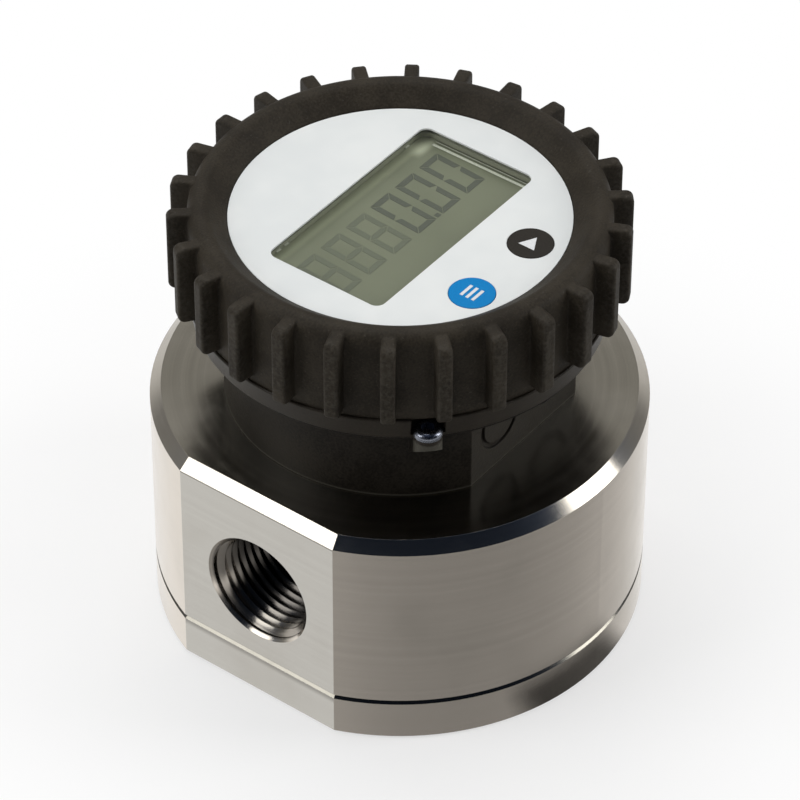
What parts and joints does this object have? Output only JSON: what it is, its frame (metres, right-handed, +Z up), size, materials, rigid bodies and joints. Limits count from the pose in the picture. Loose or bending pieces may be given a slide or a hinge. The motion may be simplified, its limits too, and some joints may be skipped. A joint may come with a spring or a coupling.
{
  "type": "oval gear flow meter",
  "caption": "Oval gear flow meter: stainless body with threaded ports on two flats, meshed oval rotors inside, and a round battery display with keys in a ribbed rubber boot.",
  "frame": {"origin": "centre of the base face, on the axis of the round body", "axes": "+Z up through the display, X along the ports' axis and the display's text direction, +Y the top side of the display"},
  "size_m": [0.0834, 0.09, 0.0871],
  "materials": {
    "stainless": "turned and milled stainless steel",
    "screw_steel": "bright stainless steel",
    "shaft_steel": "ground steel",
    "rotor_plastic": "filled black plastic",
    "bush_carbon": "carbon bearing",
    "magnet": "nickel plated",
    "seal_rubber": "smooth black rubber",
    "housing_plastic": "fine textured black plastic",
    "cover_plastic": "black plastic",
    "sensor_resin": "cast resin",
    "battery_sleeve": "plain shrink sleeve",
    "board_laminate": "green laminate",
    "frame_plastic": "grey plastic",
    "lcd_glass": "reflective liquid crystal glass",
    "lens_clear": "clear pane",
    "label_film": "white satin film",
    "key_blue": "blue satin plastic",
    "key_black": "black satin plastic",
    "boot_rubber": "matte moulded rubber"
  },
  "bodies": {
    "meter": {"meter_body": "stainless", "base_cap": "stainless", "body_seal": "seal_rubber", "cap_screws": "screw_steel", "rotor_shaft_a": "shaft_steel", "rotor_shaft_b": "shaft_steel", "display_housing": "housing_plastic", "housing_seal": "seal_rubber", "housing_screws": "screw_steel", "reed_sensor": "sensor_resin", "battery_holder": "cover_plastic", "battery_cell": "battery_sleeve", "circuit_board": "board_laminate", "board_screws": "screw_steel", "key_switches": "cover_plastic", "contact_strips": "seal_rubber", "lcd_frame": "frame_plastic", "lcd_panel": "lcd_glass", "window_lens": "lens_clear", "display_cover": "cover_plastic", "cover_seal": "seal_rubber", "cover_screws": "screw_steel", "front_label": "label_film", "rubber_boot": "boot_rubber"},
    "rotor_a": {"oval_rotor_a": "rotor_plastic", "rotor_bush_a": "bush_carbon", "rotor_magnets": "magnet"},
    "rotor_b": {"oval_rotor_b": "rotor_plastic", "rotor_bush_b": "bush_carbon"},
    "program_key": {"program_button": "key_blue"},
    "select_key": {"select_button": "key_black"}
  },
  "joints": [
    {"name": "rotor_a_spin", "type": "hinge", "parent": "meter", "child": "rotor_a", "pos_m": [0, 0.0135, 0.0214], "axis": [0, 0, 1], "continuous": true},
    {"name": "rotor_b_spin", "type": "hinge", "parent": "meter", "child": "rotor_b", "pos_m": [0, -0.0135, 0.0214], "axis": [0, 0, 1], "continuous": true},
    {"name": "program_press", "type": "slide", "parent": "meter", "child": "program_key", "axis": [0, 0, -1], "range_m": [0, 0.0005], "stiffness_N_per_m": 800, "springref_m": -0.0003},
    {"name": "select_press", "type": "slide", "parent": "meter", "child": "select_key", "axis": [0, 0, -1], "range_m": [0, 0.0005], "stiffness_N_per_m": 800, "springref_m": -0.0003}
  ],
  "couplings": [
    {"joint": "rotor_b_spin", "follows": "rotor_a_spin", "ratio": -1}
  ]
}
